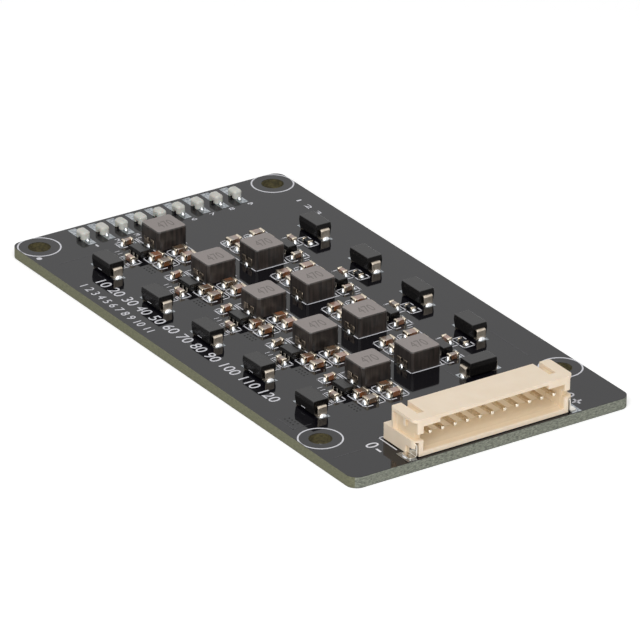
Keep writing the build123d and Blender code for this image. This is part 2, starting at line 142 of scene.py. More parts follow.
def solder_mask_and_glass_epoxy():
    """Curtain-coated black solder mask: a wet black gloss that mirrors the parts. The
    routed edge and the drilled walls show olive glass epoxy with its fibre ends."""
    material, shader, place = new_material("black_solder_mask_on_glass_epoxy", IOR=1.35)
    fibre_width = 0.5 * MM
    fibre_flatness = 2.6
    short_edge_depth = 0.4 * MM
    rim = 1.0 * MM
    ripple = 5.0 * MM
    split = add_node(material, "SeparateXYZ", {"Vector": place})
    half_z = (board_high.z - board_low.z) / 2
    core = add_node(
        material,
        "Math",
        {0: split.outputs["Z"], 1: board_low.z + half_z, 2: half_z - MASK},
        operation="COMPARE",
    ).outputs[0]
    # Fibre bundles lie flat in the board and show as short streaks in its edge
    flat = add_node(
        material, "Mapping", {"Vector": place, "Scale": (1.0, 1.0, fibre_flatness)}
    )
    fibre = add_node(
        material,
        "TexNoise",
        {"Vector": flat.outputs[0], "Scale": 1 / fibre_width, "Detail": 5.0, "Roughness": 0.7},
    )
    contrast = add_node(
        material,
        "MapRange",
        {"Value": fibre.outputs["Fac"], "From Min": 0.38, "From Max": 0.62},
    ).outputs["Result"]
    long_edge = add_node(
        material,
        "Mix",
        {0: contrast, 6: colour("#5c5d49"), 7: colour("#73735b")},
        data_type="RGBA",
    ).outputs[2]
    short_edge = add_node(
        material,
        "Mix",
        {0: contrast, 6: colour("#555950"), 7: colour("#8e9184")},
        data_type="RGBA",
    ).outputs[2]
    # The short edge was routed more coarsely than the long one
    is_short = add_node(
        material,
        "Math",
        {0: split.outputs["X"], 1: board_high.x - short_edge_depth},
        operation="GREATER_THAN",
    ).outputs[0]
    edge = add_node(
        material, "Mix", {0: is_short, 6: long_edge, 7: short_edge}, data_type="RGBA"
    ).outputs[2]
    # The holes' walls lie further than the rim inside the board's outline
    inside_x, inside_y = (
        add_node(
            material,
            "Math",
            {0: split.outputs[axis], 1: 0.0, 2: reach - rim},
            operation="COMPARE",
        ).outputs[0]
        for axis, reach in (("X", board_high.x), ("Y", board_high.y))
    )
    in_hole = add_node(
        material, "Math", {0: inside_x, 1: inside_y}, operation="MULTIPLY"
    ).outputs[0]
    wall = add_node(
        material,
        "Mix",
        {0: contrast, 6: colour("#332f1f"), 7: colour("#5b5436")},
        data_type="RGBA",
    ).outputs[2]
    bare = add_node(
        material, "Mix", {0: in_hole, 6: edge, 7: wall}, data_type="RGBA"
    ).outputs[2]
    body = add_node(
        material, "Mix", {0: core, 6: colour("#0c0b10"), 7: bare}, data_type="RGBA"
    ).outputs[2]
    link(material, body, shader.inputs["Base Color"])
    rough = add_node(material, "MapRange", {"Value": core, "To Min": 0.06, "To Max": 0.7})
    link(material, rough.outputs["Result"], shader.inputs["Roughness"])
    # The mask's surface undulates a little over the copper under it
    wave = add_node(
        material, "TexNoise", {"Vector": place, "Scale": 1 / ripple, "Detail": 1.0}
    )
    relief = add_node(
        material,
        "Bump",
        {"Height": wave.outputs["Fac"], "Distance": 0.01 * MM, "Strength": 0.4},
    )
    link(material, relief.outputs["Normal"], shader.inputs["Normal"])
    return material


def mask_over_copper():
    """Solder mask over a copper edge: the same gloss, lifted and a shade lighter."""
    material, shader, place = new_material("solder_mask_over_copper", Roughness=0.25, IOR=1.36)
    mottle = add_node(material, "TexNoise", {"Vector": place, "Scale": 1 / (0.6 * MM)})
    tone = add_node(
        material,
        "Mix",
        {0: mottle.outputs["Fac"], 6: colour("#2a292c"), 7: colour("#353438")},
        data_type="RGBA",
    )
    link(material, tone.outputs[2], shader.inputs["Base Color"])
    return material


def plain_coat(name, low, high, roughness, grain_size):
    """A thin printed or filled coat: matt, with a slightly uneven tone."""
    material, shader, place = new_material(name, Roughness=roughness)
    mottle = add_node(material, "TexNoise", {"Vector": place, "Scale": 1 / grain_size})
    tone = add_node(
        material,
        "Mix",
        {0: mottle.outputs["Fac"], 6: colour(low), 7: colour(high)},
        data_type="RGBA",
    )
    link(material, tone.outputs[2], shader.inputs["Base Color"])
    return material


def natural_nylon():
    """Moulded natural nylon: warm cream with a soft sheen. Its socket is smoother, and
    painted lighter as painted light inside it; pockets and slots are painted darker as painted
    shade."""
    material, shader, place = new_material(
        "moulded_natural_nylon",
        IOR=1.53,
        Subsurface_Weight=0.1,
        Subsurface_Radius=(1.0, 0.6, 0.3),
        Subsurface_Scale=0.35 * MM,
    )
    low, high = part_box("connector_housing")
    # Where the socket lies in the housing, and how far in its painted light and smoother gloss
    # take to show
    wall = 1.4 * MM
    floor_height = 0.6 * MM
    roof = 0.45 * MM
    back = 2.5 * MM
    fade = 2.2 * MM
    split = add_node(material, "SeparateXYZ", {"Vector": place})
    depth = add_node(
        material,
        "MapRange",
        {"Value": split.outputs["X"], "From Min": high.x, "From Max": high.x - fade},
    ).outputs["Result"]
    ahead = add_node(
        material, "Math", {0: split.outputs["X"], 1: low.x + back}, operation="GREATER_THAN"
    ).outputs[0]
    between = add_node(
        material,
        "Math",
        {0: split.outputs["Y"], 1: (low.y + high.y) / 2, 2: (high.y - low.y) / 2 - wall},
        operation="COMPARE",
    ).outputs[0]
    bottom, top = low.z + floor_height, high.z - roof
    under = add_node(
        material,
        "Math",
        {0: split.outputs["Z"], 1: (bottom + top) / 2, 2: (top - bottom) / 2},
        operation="COMPARE",
    ).outputs[0]
    inside = depth
    for mask in (ahead, between, under):
        inside = add_node(
            material, "Math", {0: inside, 1: mask}, operation="MULTIPLY"
        ).outputs[0]
    cloud = add_node(material, "TexNoise", {"Vector": place, "Scale": 1 / (2.5 * MM)})
    outer = add_node(
        material,
        "Mix",
        {0: cloud.outputs["Fac"], 6: colour("#e2cfb6"), 7: colour("#ecdcc6")},
        data_type="RGBA",
    ).outputs[2]
    # Pockets, slots and openings lie deeper than the outer faces by more than this skin, and
    # are painted darker there as painted shade
    skin_depth = 0.28 * MM
    recess_painted_shade = ahead
    for axis, near_face, far_face in (
        ("X", low.x, high.x),
        ("Y", low.y, high.y),
        ("Z", low.z, high.z),
    ):
        deep = add_node(
            material,
            "Math",
            {
                0: split.outputs[axis],
                1: (near_face + far_face) / 2,
                2: (far_face - near_face) / 2 - skin_depth,
            },
            operation="COMPARE",
        ).outputs[0]
        recess_painted_shade = add_node(
            material, "Math", {0: recess_painted_shade, 1: deep}, operation="MULTIPLY"
        ).outputs[0]
    # Painted shade in the pockets, slots and openings
    outer = add_node(
        material, "Mix", {0: recess_painted_shade, 6: outer, 7: colour("#e3ceaf")}, data_type="RGBA"
    ).outputs[2]
    # Painted light: the socket is painted lighter than the outer faces
    tone = add_node(
        material, "Mix", {0: inside, 6: outer, 7: colour("#f4e4ca")}, data_type="RGBA"
    ).outputs[2]
    link(material, tone, shader.inputs["Base Color"])
    rough = add_node(material, "MapRange", {"Value": inside, "To Min": 0.48, "To Max": 0.1})
    link(material, rough.outputs["Result"], shader.inputs["Roughness"])
    # Spark-eroded mould skin, drawn about twice as coarse as the real one so that it shows
    skin = add_node(material, "TexNoise", {"Vector": place, "Scale": 1 / (0.12 * MM)})
    relief = add_node(
        material,
        "Bump",
        {"Height": skin.outputs["Fac"], "Distance": 0.004 * MM, "Strength": 0.35},
    )
    link(material, relief.outputs["Normal"], shader.inputs["Normal"])
    return material


def tinned(name, low, high, roughness, grain_size, metallic=1.0):
    """Tin over a base metal: a soft grey-white, slightly mottled where it has dulled."""
    material, shader, place = new_material(name, Metallic=metallic, Roughness=roughness)
    mottle = add_node(
        material, "TexNoise", {"Vector": place, "Scale": 1 / grain_size, "Detail": 3.0}
    )
    contrast = add_node(
        material,
        "MapRange",
        {"Value": mottle.outputs["Fac"], "From Min": 0.35, "From Max": 0.65},
    )
    tone = add_node(
        material,
        "Mix",
        {0: contrast.outputs["Result"], 6: colour(low), 7: colour(high)},
        data_type="RGBA",
    )
    link(material, tone.outputs[2], shader.inputs["Base Color"])
    relief = add_node(
        material,
        "Bump",
        {"Height": mottle.outputs["Fac"], "Distance": 0.004 * MM, "Strength": 0.3},
    )
    link(material, relief.outputs["Normal"], shader.inputs["Normal"])
    return material


def pressed_iron_powder():
    """Pressed, coated iron powder: near-black brown on the pressed sides, which the die has
    scored from top to bottom; the top is painted warm mid-grey as painted light from above."""
    material, shader, place = new_material("pressed_iron_powder")
    grit_size = 0.14 * MM
    score_width = 0.4 * MM
    top_skin = 0.03 * MM
    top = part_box("inductor_1")[1].z - top_skin
    split = add_node(material, "SeparateXYZ", {"Vector": place})
    is_top = add_node(
        material, "Math", {0: split.outputs["Z"], 1: top}, operation="GREATER_THAN"
    ).outputs[0]
    grit = add_node(
        material, "TexNoise", {"Vector": place, "Scale": 1 / grit_size, "Detail": 4.0}
    )
    upright = add_node(material, "Mapping", {"Vector": place, "Scale": (1.0, 1.0, 0.12)})
    score = add_node(
        material,
        "TexNoise",
        {"Vector": upright.outputs[0], "Scale": 1 / score_width, "Detail": 3.0},
    )
    scored = add_node(
        material,
        "MapRange",
        {"Value": score.outputs["Fac"], "From Min": 0.35, "From Max": 0.7},
    ).outputs["Result"]
    sides = add_node(
        material,
        "Mix",
        {0: scored, 6: colour("#1d1a18"), 7: colour("#3e3632")},
        data_type="RGBA",
    ).outputs[2]
    # Painted light: the top is painted lighter than the sides, as light from above
    painted_light_top = add_node(
        material,
        "Mix",
        {0: grit.outputs["Fac"], 6: colour("#7f7875"), 7: colour("#958d8a")},
        data_type="RGBA",
    ).outputs[2]
    body = add_node(
        material, "Mix", {0: is_top, 6: sides, 7: painted_light_top}, data_type="RGBA"
    ).outputs[2]
    link(material, body, shader.inputs["Base Color"])
    rough = add_node(material, "MapRange", {"Value": is_top, "To Min": 0.32, "To Max": 0.6})
    link(material, rough.outputs["Result"], shader.inputs["Roughness"])
    relief = add_node(
        material,
        "Bump",
        {"Height": grit.outputs["Fac"], "Distance": 0.01 * MM, "Strength": 0.35},
    )
    link(material, relief.outputs["Normal"], shader.inputs["Normal"])
    return material


def moulded_epoxy():
    """Transfer-moulded black epoxy: a fine satin skin that greys at a glancing angle."""
    material, shader, place = new_material("moulded_black_epoxy", Roughness=0.27, IOR=1.42)
    skin = add_node(
        material, "TexNoise", {"Vector": place, "Scale": 1 / (0.09 * MM), "Detail": 3.0}
    )
    tone = add_node(
        material,
        "Mix",
        {0: skin.outputs["Fac"], 6: colour("#070606"), 7: colour("#100e0d")},
        data_type="RGBA",
    )
    link(material, tone.outputs[2], shader.inputs["Base Color"])
    relief = add_node(
        material,
        "Bump",
        {"Height": skin.outputs["Fac"], "Distance": 0.006 * MM, "Strength": 0.4},
    )
    link(material, relief.outputs["Normal"], shader.inputs["Normal"])
    return material


def fired_ceramic(name, low, high, roughness, index, patch):
    """Fired dielectric ceramic: smooth, and of a high index, so it shines at a low angle.
    The tone changes from one part to the next, as parts from different reels do."""
    material, shader, place = new_material(name, Roughness=roughness, IOR=index)
    batch = add_node(
        material, "TexNoise", {"Vector": place, "Scale": 1 / patch, "Detail": 0.0}
    )
    contrast = add_node(
        material,
        "MapRange",
        {"Value": batch.outputs["Fac"], "From Min": 0.35, "From Max": 0.65},
    )
    tone = add_node(
        material,
        "Mix",
        {0: contrast.outputs["Result"], 6: colour(low), 7: colour(high)},
        data_type="RGBA",
    )
    link(material, tone.outputs[2], shader.inputs["Base Color"])
    return material


def lamp_resin():
    """Milky cast lamp resin: cream, glossy and a little see-through at its edges."""
    material, shader, place = new_material(
        "milky_lamp_resin",
        Roughness=0.24,
        Subsurface_Weight=0.1,
        Subsurface_Scale=0.3 * MM,
    )
    cloud = add_node(material, "TexNoise", {"Vector": place, "Scale": 1 / (0.8 * MM)})
    tone = add_node(
        material,
        "Mix",
        {0: cloud.outputs["Fac"], 6: colour("#b3b3ab"), 7: colour("#cdccc5")},
        data_type="RGBA",
    )
    link(material, tone.outputs[2], shader.inputs["Base Color"])
    return material


BOARD = solder_mask_and_glass_epoxy()
COPPER_EDGE = mask_over_copper()
PRINT = plain_coat("screen_printed_ink", "#c3c3c9", "#e0e0e5", 0.5, 0.3 * MM)
MARKING = plain_coat("laser_marked_powder", "#696360", "#746e6b", 0.7, 0.2 * MM)
VIA_FILL = plain_coat("plugged_via", "#0b0b0b", "#141313", 0.8, 0.1 * MM)
NYLON = natural_nylon()
CHIP_TIN = tinned("grey_tin_on_copper", "#4f4b46", "#8d877e", 0.3, 0.3 * MM)
PIN_TIN = tinned("tin_plated_brass", "#cfc3ae", "#efe6d6", 0.25, 0.4 * MM)
TAB_TIN = tinned("bright_tin_on_brass", "#b9b2a6", "#e6e2da", 0.1, 1.2 * MM)
LEAD_TIN = tinned("matt_tin_on_copper", "#b3a797", "#cdc2b3", 0.42, 0.4 * MM, 0.9)
STRAP_TIN = tinned("dulled_tin_on_copper", "#4a423b", "#a09282", 0.36, 0.4 * MM)
END_TIN = tinned("tin_plated_ceramic_end", "#bdb09c", "#ddd1bf", 0.24, 0.5 * MM)
SOLDER = tinned("reflowed_solder", "#c9cbcf", "#e8eaec", 0.14, 0.3 * MM)
PAD_TIN = tinned("tinned_pad", "#757b81", "#b6babd", 0.24, 0.3 * MM)
POWDER = pressed_iron_powder()
EPOXY = moulded_epoxy()
DIELECTRIC = fired_ceramic("brown_capacitor_ceramic", "#5a4632", "#84502e", 0.2, 2.6, 1.9 * MM)
GLAZE = fired_ceramic("black_resistor_glaze", "#121316", "#1b1c20", 0.25, 1.55, 1.0 * MM)
RESIN = lamp_resin()


# Mesh helpers


def new_piece(name, shape, material):
    """A named object from a bmesh, riding on the part."""
    mesh = bpy.data.meshes.new(name)
    shape.to_mesh(mesh)
    shape.free()
    mesh.materials.append(material)
    piece = bpy.data.objects.new(name, mesh)
    bpy.context.scene.collection.objects.link(piece)
    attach(piece, "root")
    return piece


# Corners closer than the merge are one corner, faces within the flat angle are one face,
# edges past the sharp angle are rounded, and an edge as short as a sliver is closed
MERGE = 0.002 * MM
FLAT_ANGLE = math.radians(1)
SHARP_ANGLE = math.radians(20)
SLIVER = 0.0001 * MM


def softened(node, name, width, material, segments=2, shortest=0.0):
    """A copy of a CAD node with its sharp edges rounded, in the node's place."""
    shape = bmesh.new()
    shape.from_mesh(NODES[node].data)
    bmesh.ops.remove_doubles(shape, verts=shape.verts, dist=MERGE)
    bmesh.ops.dissolve_limit(
        shape, angle_limit=FLAT_ANGLE, verts=shape.verts, edges=shape.edges
    )
    sharp = [
        edge
        for edge in shape.edges
        if edge.is_manifold
        and edge.calc_face_angle() > SHARP_ANGLE
        and edge.calc_length() >= shortest
    ]
    rounded = bmesh.ops.bevel(
        shape,
        geom=sharp,
        offset=width,
        segments=segments,
        profile=0.5,
        affect="EDGES",
        clamp_overlap=True,
        material=-1,
    )
    for face in rounded["faces"]:
        face.smooth = True
    bmesh.ops.dissolve_degenerate(shape, dist=SLIVER, edges=shape.edges)
    piece = new_piece(name, shape, material)
    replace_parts(piece, node)
    return piece


def add_copy(shape, mesh, matrix):
    """Add a placed copy of a mesh to a bmesh."""
    placed = mesh.copy()
    placed.transform(matrix)
    shape.from_mesh(placed)
    bpy.data.meshes.remove(placed)


def add_block(shape, centre, size, turn=0.0):
    """Add a thin block by its centre and size, turned about Z."""
    matrix = Matrix.Translation(centre) @ Matrix.Rotation(turn, 4, "Z")
    bmesh.ops.create_cube(shape, size=1.0, matrix=matrix @ Matrix.Diagonal((*size, 1.0)))


# CAD nodes: the board keeps its own mesh, the rest get rounded edges
NODES["circuit_board"].data.materials.clear()
NODES["circuit_board"].data.materials.append(BOARD)
softened(
    "connector_housing", "header_housing", 0.18 * MM, NYLON, 3, 1.1 * MM
)
for number in range(1, PINS + 1):
    softened(
        f"contact_pin_{number:02d}",
        f"header_pin_{number:02d}",
        0.05 * MM,
        PIN_TIN,
    )
for side in ("near", "far"):
    softened(f"solder_tab_{side}", f"header_tab_{side}", 0.03 * MM, TAB_TIN)
for number in range(1, CHANNELS + 1):
    softened(
        f"inductor_{number}",
        f"inductor_block_{number}",
        0.14 * MM,
        POWDER,
        3,
    )
    softened(
        f"balancer_chip_{number}", f"chip_body_{number}", 0.05 * MM, EPOXY
    )
for number in range(1, DIODES + 1):
    softened(
        f"clamp_diode_{number:02d}",
        f"diode_body_{number:02d}",
        0.06 * MM,
        EPOXY,
    )
for number in range(1, LAMPS + 1):
    softened(f"status_lamp_{number}", f"lamp_lens_{number}", 0.24 * MM, RESIN, 4)
softened("inductor_terminals", "terminal_straps", 0.03 * MM, STRAP_TIN, 1)
softened("diode_leads", "folded_leads", 0.03 * MM, LEAD_TIN, 1)
softened("chip_pins", "gull_wing_pins", 0.03 * MM, CHIP_TIN, 1)
softened("large_capacitors", "capacitor_blocks", 0.04 * MM, DIELECTRIC, 1)
softened(
    "small_capacitors", "small_capacitor_blocks", 0.04 * MM, DIELECTRIC, 1
)
softened("resistors", "resistor_blocks", 0.03 * MM, GLAZE, 1)
softened("end_caps", "chip_part_ends", 0.05 * MM, END_TIN, 1)


# Solder joints and pads


def joint_mesh():
    """A wetted joint, 2 wide, 1 out along +Y and 1 high: a full flank spun half a turn,
    flat where it meets the part."""
    flank = (
        (1.0, 0.0),
        (0.88, 0.2),
        (0.68, 0.52),
        (0.46, 0.82),
        (0.26, 1.0),
        (0.0, 1.0),
        (0.0, 0.0),
    )
    shape = bmesh.new()
    profile = shape.faces.new([shape.verts.new((out, 0.0, up)) for out, up in flank])
    bmesh.ops.spin(
        shape,
        geom=[profile, *profile.edges, *profile.verts],
        cent=(0, 0, 0),
        axis=(0, 0, 1),
        angle=math.pi,
        steps=6,
    )
    bmesh.ops.remove_doubles(shape, verts=shape.verts, dist=0.001)
    bmesh.ops.recalc_face_normals(shape, faces=shape.faces)
    # Only the flank is smooth: the top, the foot and the back are flat
    for face in shape.faces:
        face.smooth = abs(face.normal.z) < 0.99 and face.normal.y > -0.99
    mesh = bpy.data.meshes.new("joint")
    shape.to_mesh(mesh)
    shape.free()
    return mesh


JOINT = joint_mesh()
joints = bmesh.new()
pads = bmesh.new()


def solder_end(place, out, joint, pad):
    """One joint and its pad at a part's end."""
    width, toe, climb = joint
    pad_width, pad_start, pad_end = pad
    turn = Matrix.Translation((*place, BOARD_TOP)) @ Matrix.Rotation(out, 4, "Z")
    add_copy(joints, JOINT, turn @ Matrix.Diagonal((width / 2, toe, climb, 1.0)))
    reach = Vector((0.0, (pad_start + pad_end) / 2, PAD / 2))
    add_block(pads, turn @ reach, (pad_width, pad_end - pad_start, PAD), out)


def both_ends(place, half, upright, joint, pad):
    """The two soldered ends of a part, each half its length from its middle."""
    x, y = place
    if upright:
        solder_end((x, y + half), OUT_Y, joint, pad)
        solder_end((x, y - half), OUT_LESS_Y, joint, pad)
    else:
        solder_end((x + half, y), OUT_X, joint, pad)
        solder_end((x - half, y), OUT_LESS_X, joint, pad)


# Half of each part's soldered length
LARGE_HALF = 1.0 * MM
SMALL_HALF = 0.8 * MM
STRAP_HALF = 2.505 * MM
DIODE_HALF = 2.645 * MM
LAMP_HALF = 1.0 * MM
CHIP_HALF = 1.4 * MM

# Joints, as width, toe and climb
LARGE_JOINT = (1.25 * MM, 0.4 * MM, 0.55 * MM)
SMALL_JOINT = (0.8 * MM, 0.4 * MM, 0.52 * MM)
RESISTOR_JOINT = (0.8 * MM, 0.4 * MM, 0.29 * MM)
STRAP_JOINT = (0.9 * MM, 0.35 * MM, 0.45 * MM)
DIODE_JOINT = (1.4 * MM, 0.45 * MM, 0.4 * MM)
LAMP_JOINT = (0.6 * MM, 0.5 * MM, 0.35 * MM)
TAIL_JOINT = (0.5 * MM, 0.4 * MM, 0.35 * MM)
TAB_JOINT = (1.45 * MM, 0.3 * MM, 0.15 * MM)
CHIP_JOINT = (0.4 * MM, 0.15 * MM, 0.1 * MM)

# Pads, as width, start and end, measured outwards from the part's end
UNDER_PART = -0.3 * MM
LARGE_PAD = (1.4 * MM, UNDER_PART, 0.5 * MM)
SMALL_PAD = (0.95 * MM, UNDER_PART, 0.5 * MM)
STRAP_PAD = (2.5 * MM, UNDER_PART, 0.3 * MM)
DIODE_PAD = (1.7 * MM, UNDER_PART, 0.6 * MM)
LAMP_INNER_PAD = (1.3 * MM, UNDER_PART, 1.5 * MM)
LAMP_OUTER_PAD = (1.3 * MM, UNDER_PART, 2.1 * MM)
CHIP_PAD = (0.5 * MM, UNDER_PART, 0.3 * MM)
TAIL_PAD = (0.9 * MM, -1.5 * MM, 0.6 * MM)
TAB_PAD = (3.0 * MM, -1.0 * MM, 0.5 * MM)

CHIP_PIN_PITCH = 0.95 * MM
TAIL_X = 32.9 * MM
TAB_X = 40.925 * MM
TAB_OFFSET = 13.5 * MM

for number in range(1, CHANNELS + 1):
    centre, large, small, resistor, chip = channel(number)
    for offset in large:
        both_ends(beside(centre, offset), LARGE_HALF, True, LARGE_JOINT, LARGE_PAD)
    for *offset, upright in small:
        both_ends(beside(centre, offset), SMALL_HALF, upright, SMALL_JOINT, SMALL_PAD)
    both_ends(beside(centre, resistor), SMALL_HALF, False, RESISTOR_JOINT, SMALL_PAD)
    both_ends((centre.x, centre.y), STRAP_HALF, True, STRAP_JOINT, STRAP_PAD)
    chip_x, chip_y = beside(centre, chip)
    for step in (-1, 0, 1):
        place = (chip_x + step * CHIP_PIN_PITCH, chip_y)
        both_ends(place, CHIP_HALF, True, CHIP_JOINT, CHIP_PAD)

for number in range(1, DIODES + 1):
    low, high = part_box(f"clamp_diode_{number:02d}")
    centre = (low + high) / 2
    upright = high.y - low.y > high.x - low.x
    both_ends((centre.x, centre.y), DIODE_HALF, upright, DIODE_JOINT, DIODE_PAD)

for number in range(1, LAMPS + 1):
    centre = middle(f"status_lamp_{number}")
    for side, out, pad in ((1, OUT_X, LAMP_INNER_PAD), (-1, OUT_LESS_X, LAMP_OUTER_PAD)):
        solder_end((centre.x + side * LAMP_HALF, centre.y), out, LAMP_JOINT, pad)

for number in range(1, PINS + 1):
    place = (TAIL_X, middle(f"contact_pin_{number:02d}").y)
    solder_end(place, OUT_LESS_X, TAIL_JOINT, TAIL_PAD)

header_y = middle("connector_housing").y
for side, out in ((1, OUT_Y), (-1, OUT_LESS_Y)):
    solder_end((TAB_X, header_y + side * TAB_OFFSET), out, TAB_JOINT, TAB_PAD)

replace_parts(new_piece("solder_joints", joints, SOLDER), "solder_fillets")
new_piece("tinned_pads", pads, PAD_TIN)


# Screen print

LINE = 0.17 * MM
FINE_LINE = 0.1 * MM
ink = bmesh.new()


def stroke(start, end, width=LINE, shape=ink, height=INK):
    """One printed line between two places on the board, square at both ends."""
    run = Vector(end) - Vector(start)
    centre = (Vector(start) + Vector(end)) / 2
    add_block(
        shape,
        (*centre, BOARD_TOP + height / 2),
        (run.length + width, width, height),
        math.atan2(run.y, run.x),
    )


def path(points, width=LINE):
    """Printed lines from point to point."""
    for start, end in zip(points, points[1:]):
        stroke(start, end, width)


def bracket_pair(centre, bracket, upright):
    """Two facing brackets round a chip part, open at the middle of its long sides."""
    half_long, half_short, gap, cut = bracket
    corners = [
        (gap, -half_short),
        (half_long - cut, -half_short),
        (half_long, cut - half_short),
        (half_long, half_short - cut),
        (half_long - cut, half_short),
        (gap, half_short),
    ]
    for end in (1, -1):
        points = []
        for along, across in corners:
            dx, dy = (across, end * along) if upright else (end * along, across)
            points.append((centre[0] + dx, centre[1] + dy))
        path(points)


# Brackets, as half length, half width, half gap and corner cut
LARGE_BRACKET = (1.73 * MM, 1.1 * MM, 0.55 * MM, 0.35 * MM)
SMALL_BRACKET = (1.57 * MM, 0.88 * MM, 0.6 * MM, 0.2 * MM)
RESISTOR_BRACKET = (1.57 * MM, 0.9 * MM, 0.6 * MM, 0.2 * MM)

# How far the print sits off the large and the small capacitors in each row
NEAR_SHIFTS = ((-0.05 * MM, 0.17 * MM), (-0.1 * MM, 0.12 * MM))
FAR_SHIFTS = ((-0.05 * MM, 0.05 * MM), (0.12 * MM, 0.02 * MM))

# Lines round an inductor and short marks beside it, in millimetres from its middle
NEAR_LINES = [
    [(-3.1, 2.2), (-3.1, 1.7)],
    [(-3.1, 2.55), (-1.3, 2.55)],
    [(1.1, 2.55), (1.9, 2.55)],
    [(-3.1, -2.2), (-3.1, -1.7)],
    [(-3.1, -2.55), (-1.3, -2.55)],
    [(1.1, -2.55), (1.9, -2.55)],
]
FAR_LINES = [
    [(1.05, -2.55), (2.42, -2.55), (2.42, 2.8)],
    [(-3.05, -2.55), (-1.85, -2.55)],
    [(2.15, 2.62), (1.35, 2.8)],
]
NEAR_MARKS = [(-1.0, -7.1), (-0.2, -7.1)]
FAR_MARKS = [(3.2, 5.4), (3.9, 5.4)]
MARK_HALF = 0.35 * MM

for number in range(1, CHANNELS + 1):
    centre, large, small, resistor, _ = channel(number)
    near = number <= NEAR_CHANNELS
    large_shift, small_shift = NEAR_SHIFTS if near else FAR_SHIFTS
    for offset in large:
        bracket_pair(beside(centre, offset, large_shift), LARGE_BRACKET, True)
    for *offset, upright in small:
        bracket_pair(beside(centre, offset, small_shift), SMALL_BRACKET, upright)
    bracket_pair(beside(centre, resistor), RESISTOR_BRACKET, False)
    for points in NEAR_LINES if near else FAR_LINES:
        path([beside(centre, point) for point in points])
    for point in NEAR_MARKS if near else FAR_MARKS:
        x, y = beside(centre, point)
        stroke((x, y - MARK_HALF), (x, y + MARK_HALF), FINE_LINE)

# Outline of the header's place, and the corner dot
header_low, header_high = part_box("connector_housing")
OUTLINE_BEHIND = 0.5 * MM
OUTLINE_BESIDE = 0.4 * MM
OUTLINE_REACH = 3.6 * MM
outline_x = header_low.x - OUTLINE_BEHIND
outline_low, outline_high = header_low.y - OUTLINE_BESIDE, header_high.y + OUTLINE_BESIDE
outline_end = header_low.x + OUTLINE_REACH
path(
    [
        (outline_end, outline_low),
        (outline_x, outline_low),
        (outline_x, outline_high),
        (outline_end, outline_high),
    ]
)
DOT_PLACE = (-36.4 * MM, -21.5 * MM)
DOT_RADIUS = 0.4 * MM
bmesh.ops.create_cone(
    ink,
    cap_ends=True,
    segments=20,
    radius1=DOT_RADIUS,
    radius2=DOT_RADIUS,
    depth=INK,
    matrix=Matrix.Translation((*DOT_PLACE, BOARD_TOP + INK / 2)),
)


def add_number(shape, digits, low, high, level, turned=False, thickness=INK):
    """Plain numbers fitted between two corners. Turned, they read along +Y."""
    curve = bpy.data.curves.new("number", "FONT")
    curve.body = digits
    curve.extrude = 0.5
    text = bpy.data.objects.new("number", curve)
    bpy.context.scene.collection.objects.link(text)
    bpy.context.view_layer.update()
    mesh = bpy.data.meshes.new_from_object(
        text.evaluated_get(bpy.context.evaluated_depsgraph_get())
    )
    bpy.data.objects.remove(text)
    if turned:
        mesh.transform(Matrix.Rotation(math.pi / 2, 4, "Z"))
    xs = [vertex.co.x for vertex in mesh.vertices]
    ys = [vertex.co.y for vertex in mesh.vertices]
    scale_x = (high[0] - low[0]) / (max(xs) - min(xs))
    scale_y = (high[1] - low[1]) / (max(ys) - min(ys))
    to_corner = Matrix.Translation((-min(xs), -min(ys), 0.5))
    size = Matrix.Diagonal((scale_x, scale_y, thickness, 1.0))
    add_copy(shape, mesh, Matrix.Translation((*low, level)) @ size @ to_corner)
    bpy.data.meshes.remove(mesh)


def place_number(digits, x_low, y_low, x_high, y_high, turned=False):
    """Plain printed numbers on the board, between corners in millimetres."""
    low, high = (x_low * MM, y_low * MM), (x_high * MM, y_high * MM)
    add_number(ink, digits, low, high, BOARD_TOP, turned)


# The signs beside the header are lines of this width
SIGN_LINE = 0.3 * MM
place_number("10 20 30 40 50 60 70 80 90 100 110 120", -25.8, -19.05, 18.1, -17.35)
place_number("1 2 3 4 5 6 7 8 9 10 11", -25.9, -21.5, -8.7, -20.2)
place_number("1 2 3", -33.0, 19.1, -27.5, 19.9)
place_number("0", 35.1, -15.8, 36.3, -13.9)
stroke((37.0 * MM, -15.0 * MM), (37.8 * MM, -15.0 * MM), SIGN_LINE)
place_number("10", 36.0, 14.6, 38.4, 16.4)
stroke((39.2 * MM, 15.4 * MM), (40.4 * MM, 15.4 * MM), SIGN_LINE)
stroke((39.8 * MM, 14.8 * MM), (39.8 * MM, 16.0 * MM), SIGN_LINE)
for number in range(1, LAMPS + 1):
    lamp_y = middle(f"status_lamp_{number}").y / MM
    number_end = lamp_y + (0.4 if number == 1 else 0.95)
    place_number(str(number), -36.0, lamp_y + 0.1, -35.3, number_end, True)

new_piece("board_print", ink, PRINT)

# Plain numbers on the inductors' tops, half sunk
MARKING_THICKNESS = 0.01 * MM
MARKING_LESS_X = 0.65 * MM
MARKING_MORE_X = 1.25 * MM
MARKING_HALF_Y = 1.2 * MM
markings = bmesh.new()
for number in range(1, CHANNELS + 1):
    low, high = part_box(f"inductor_{number}")
    centre = (low + high) / 2
    corner_low = (centre.x - MARKING_LESS_X, centre.y - MARKING_HALF_Y)
    corner_high = (centre.x + MARKING_MORE_X, centre.y + MARKING_HALF_Y)
    level = high.z - 0.5 * MARKING_THICKNESS
    add_number(markings, "470", corner_low, corner_high, level, True, MARKING_THICKNESS)
new_piece("inductor_numbers", markings, MARKING)

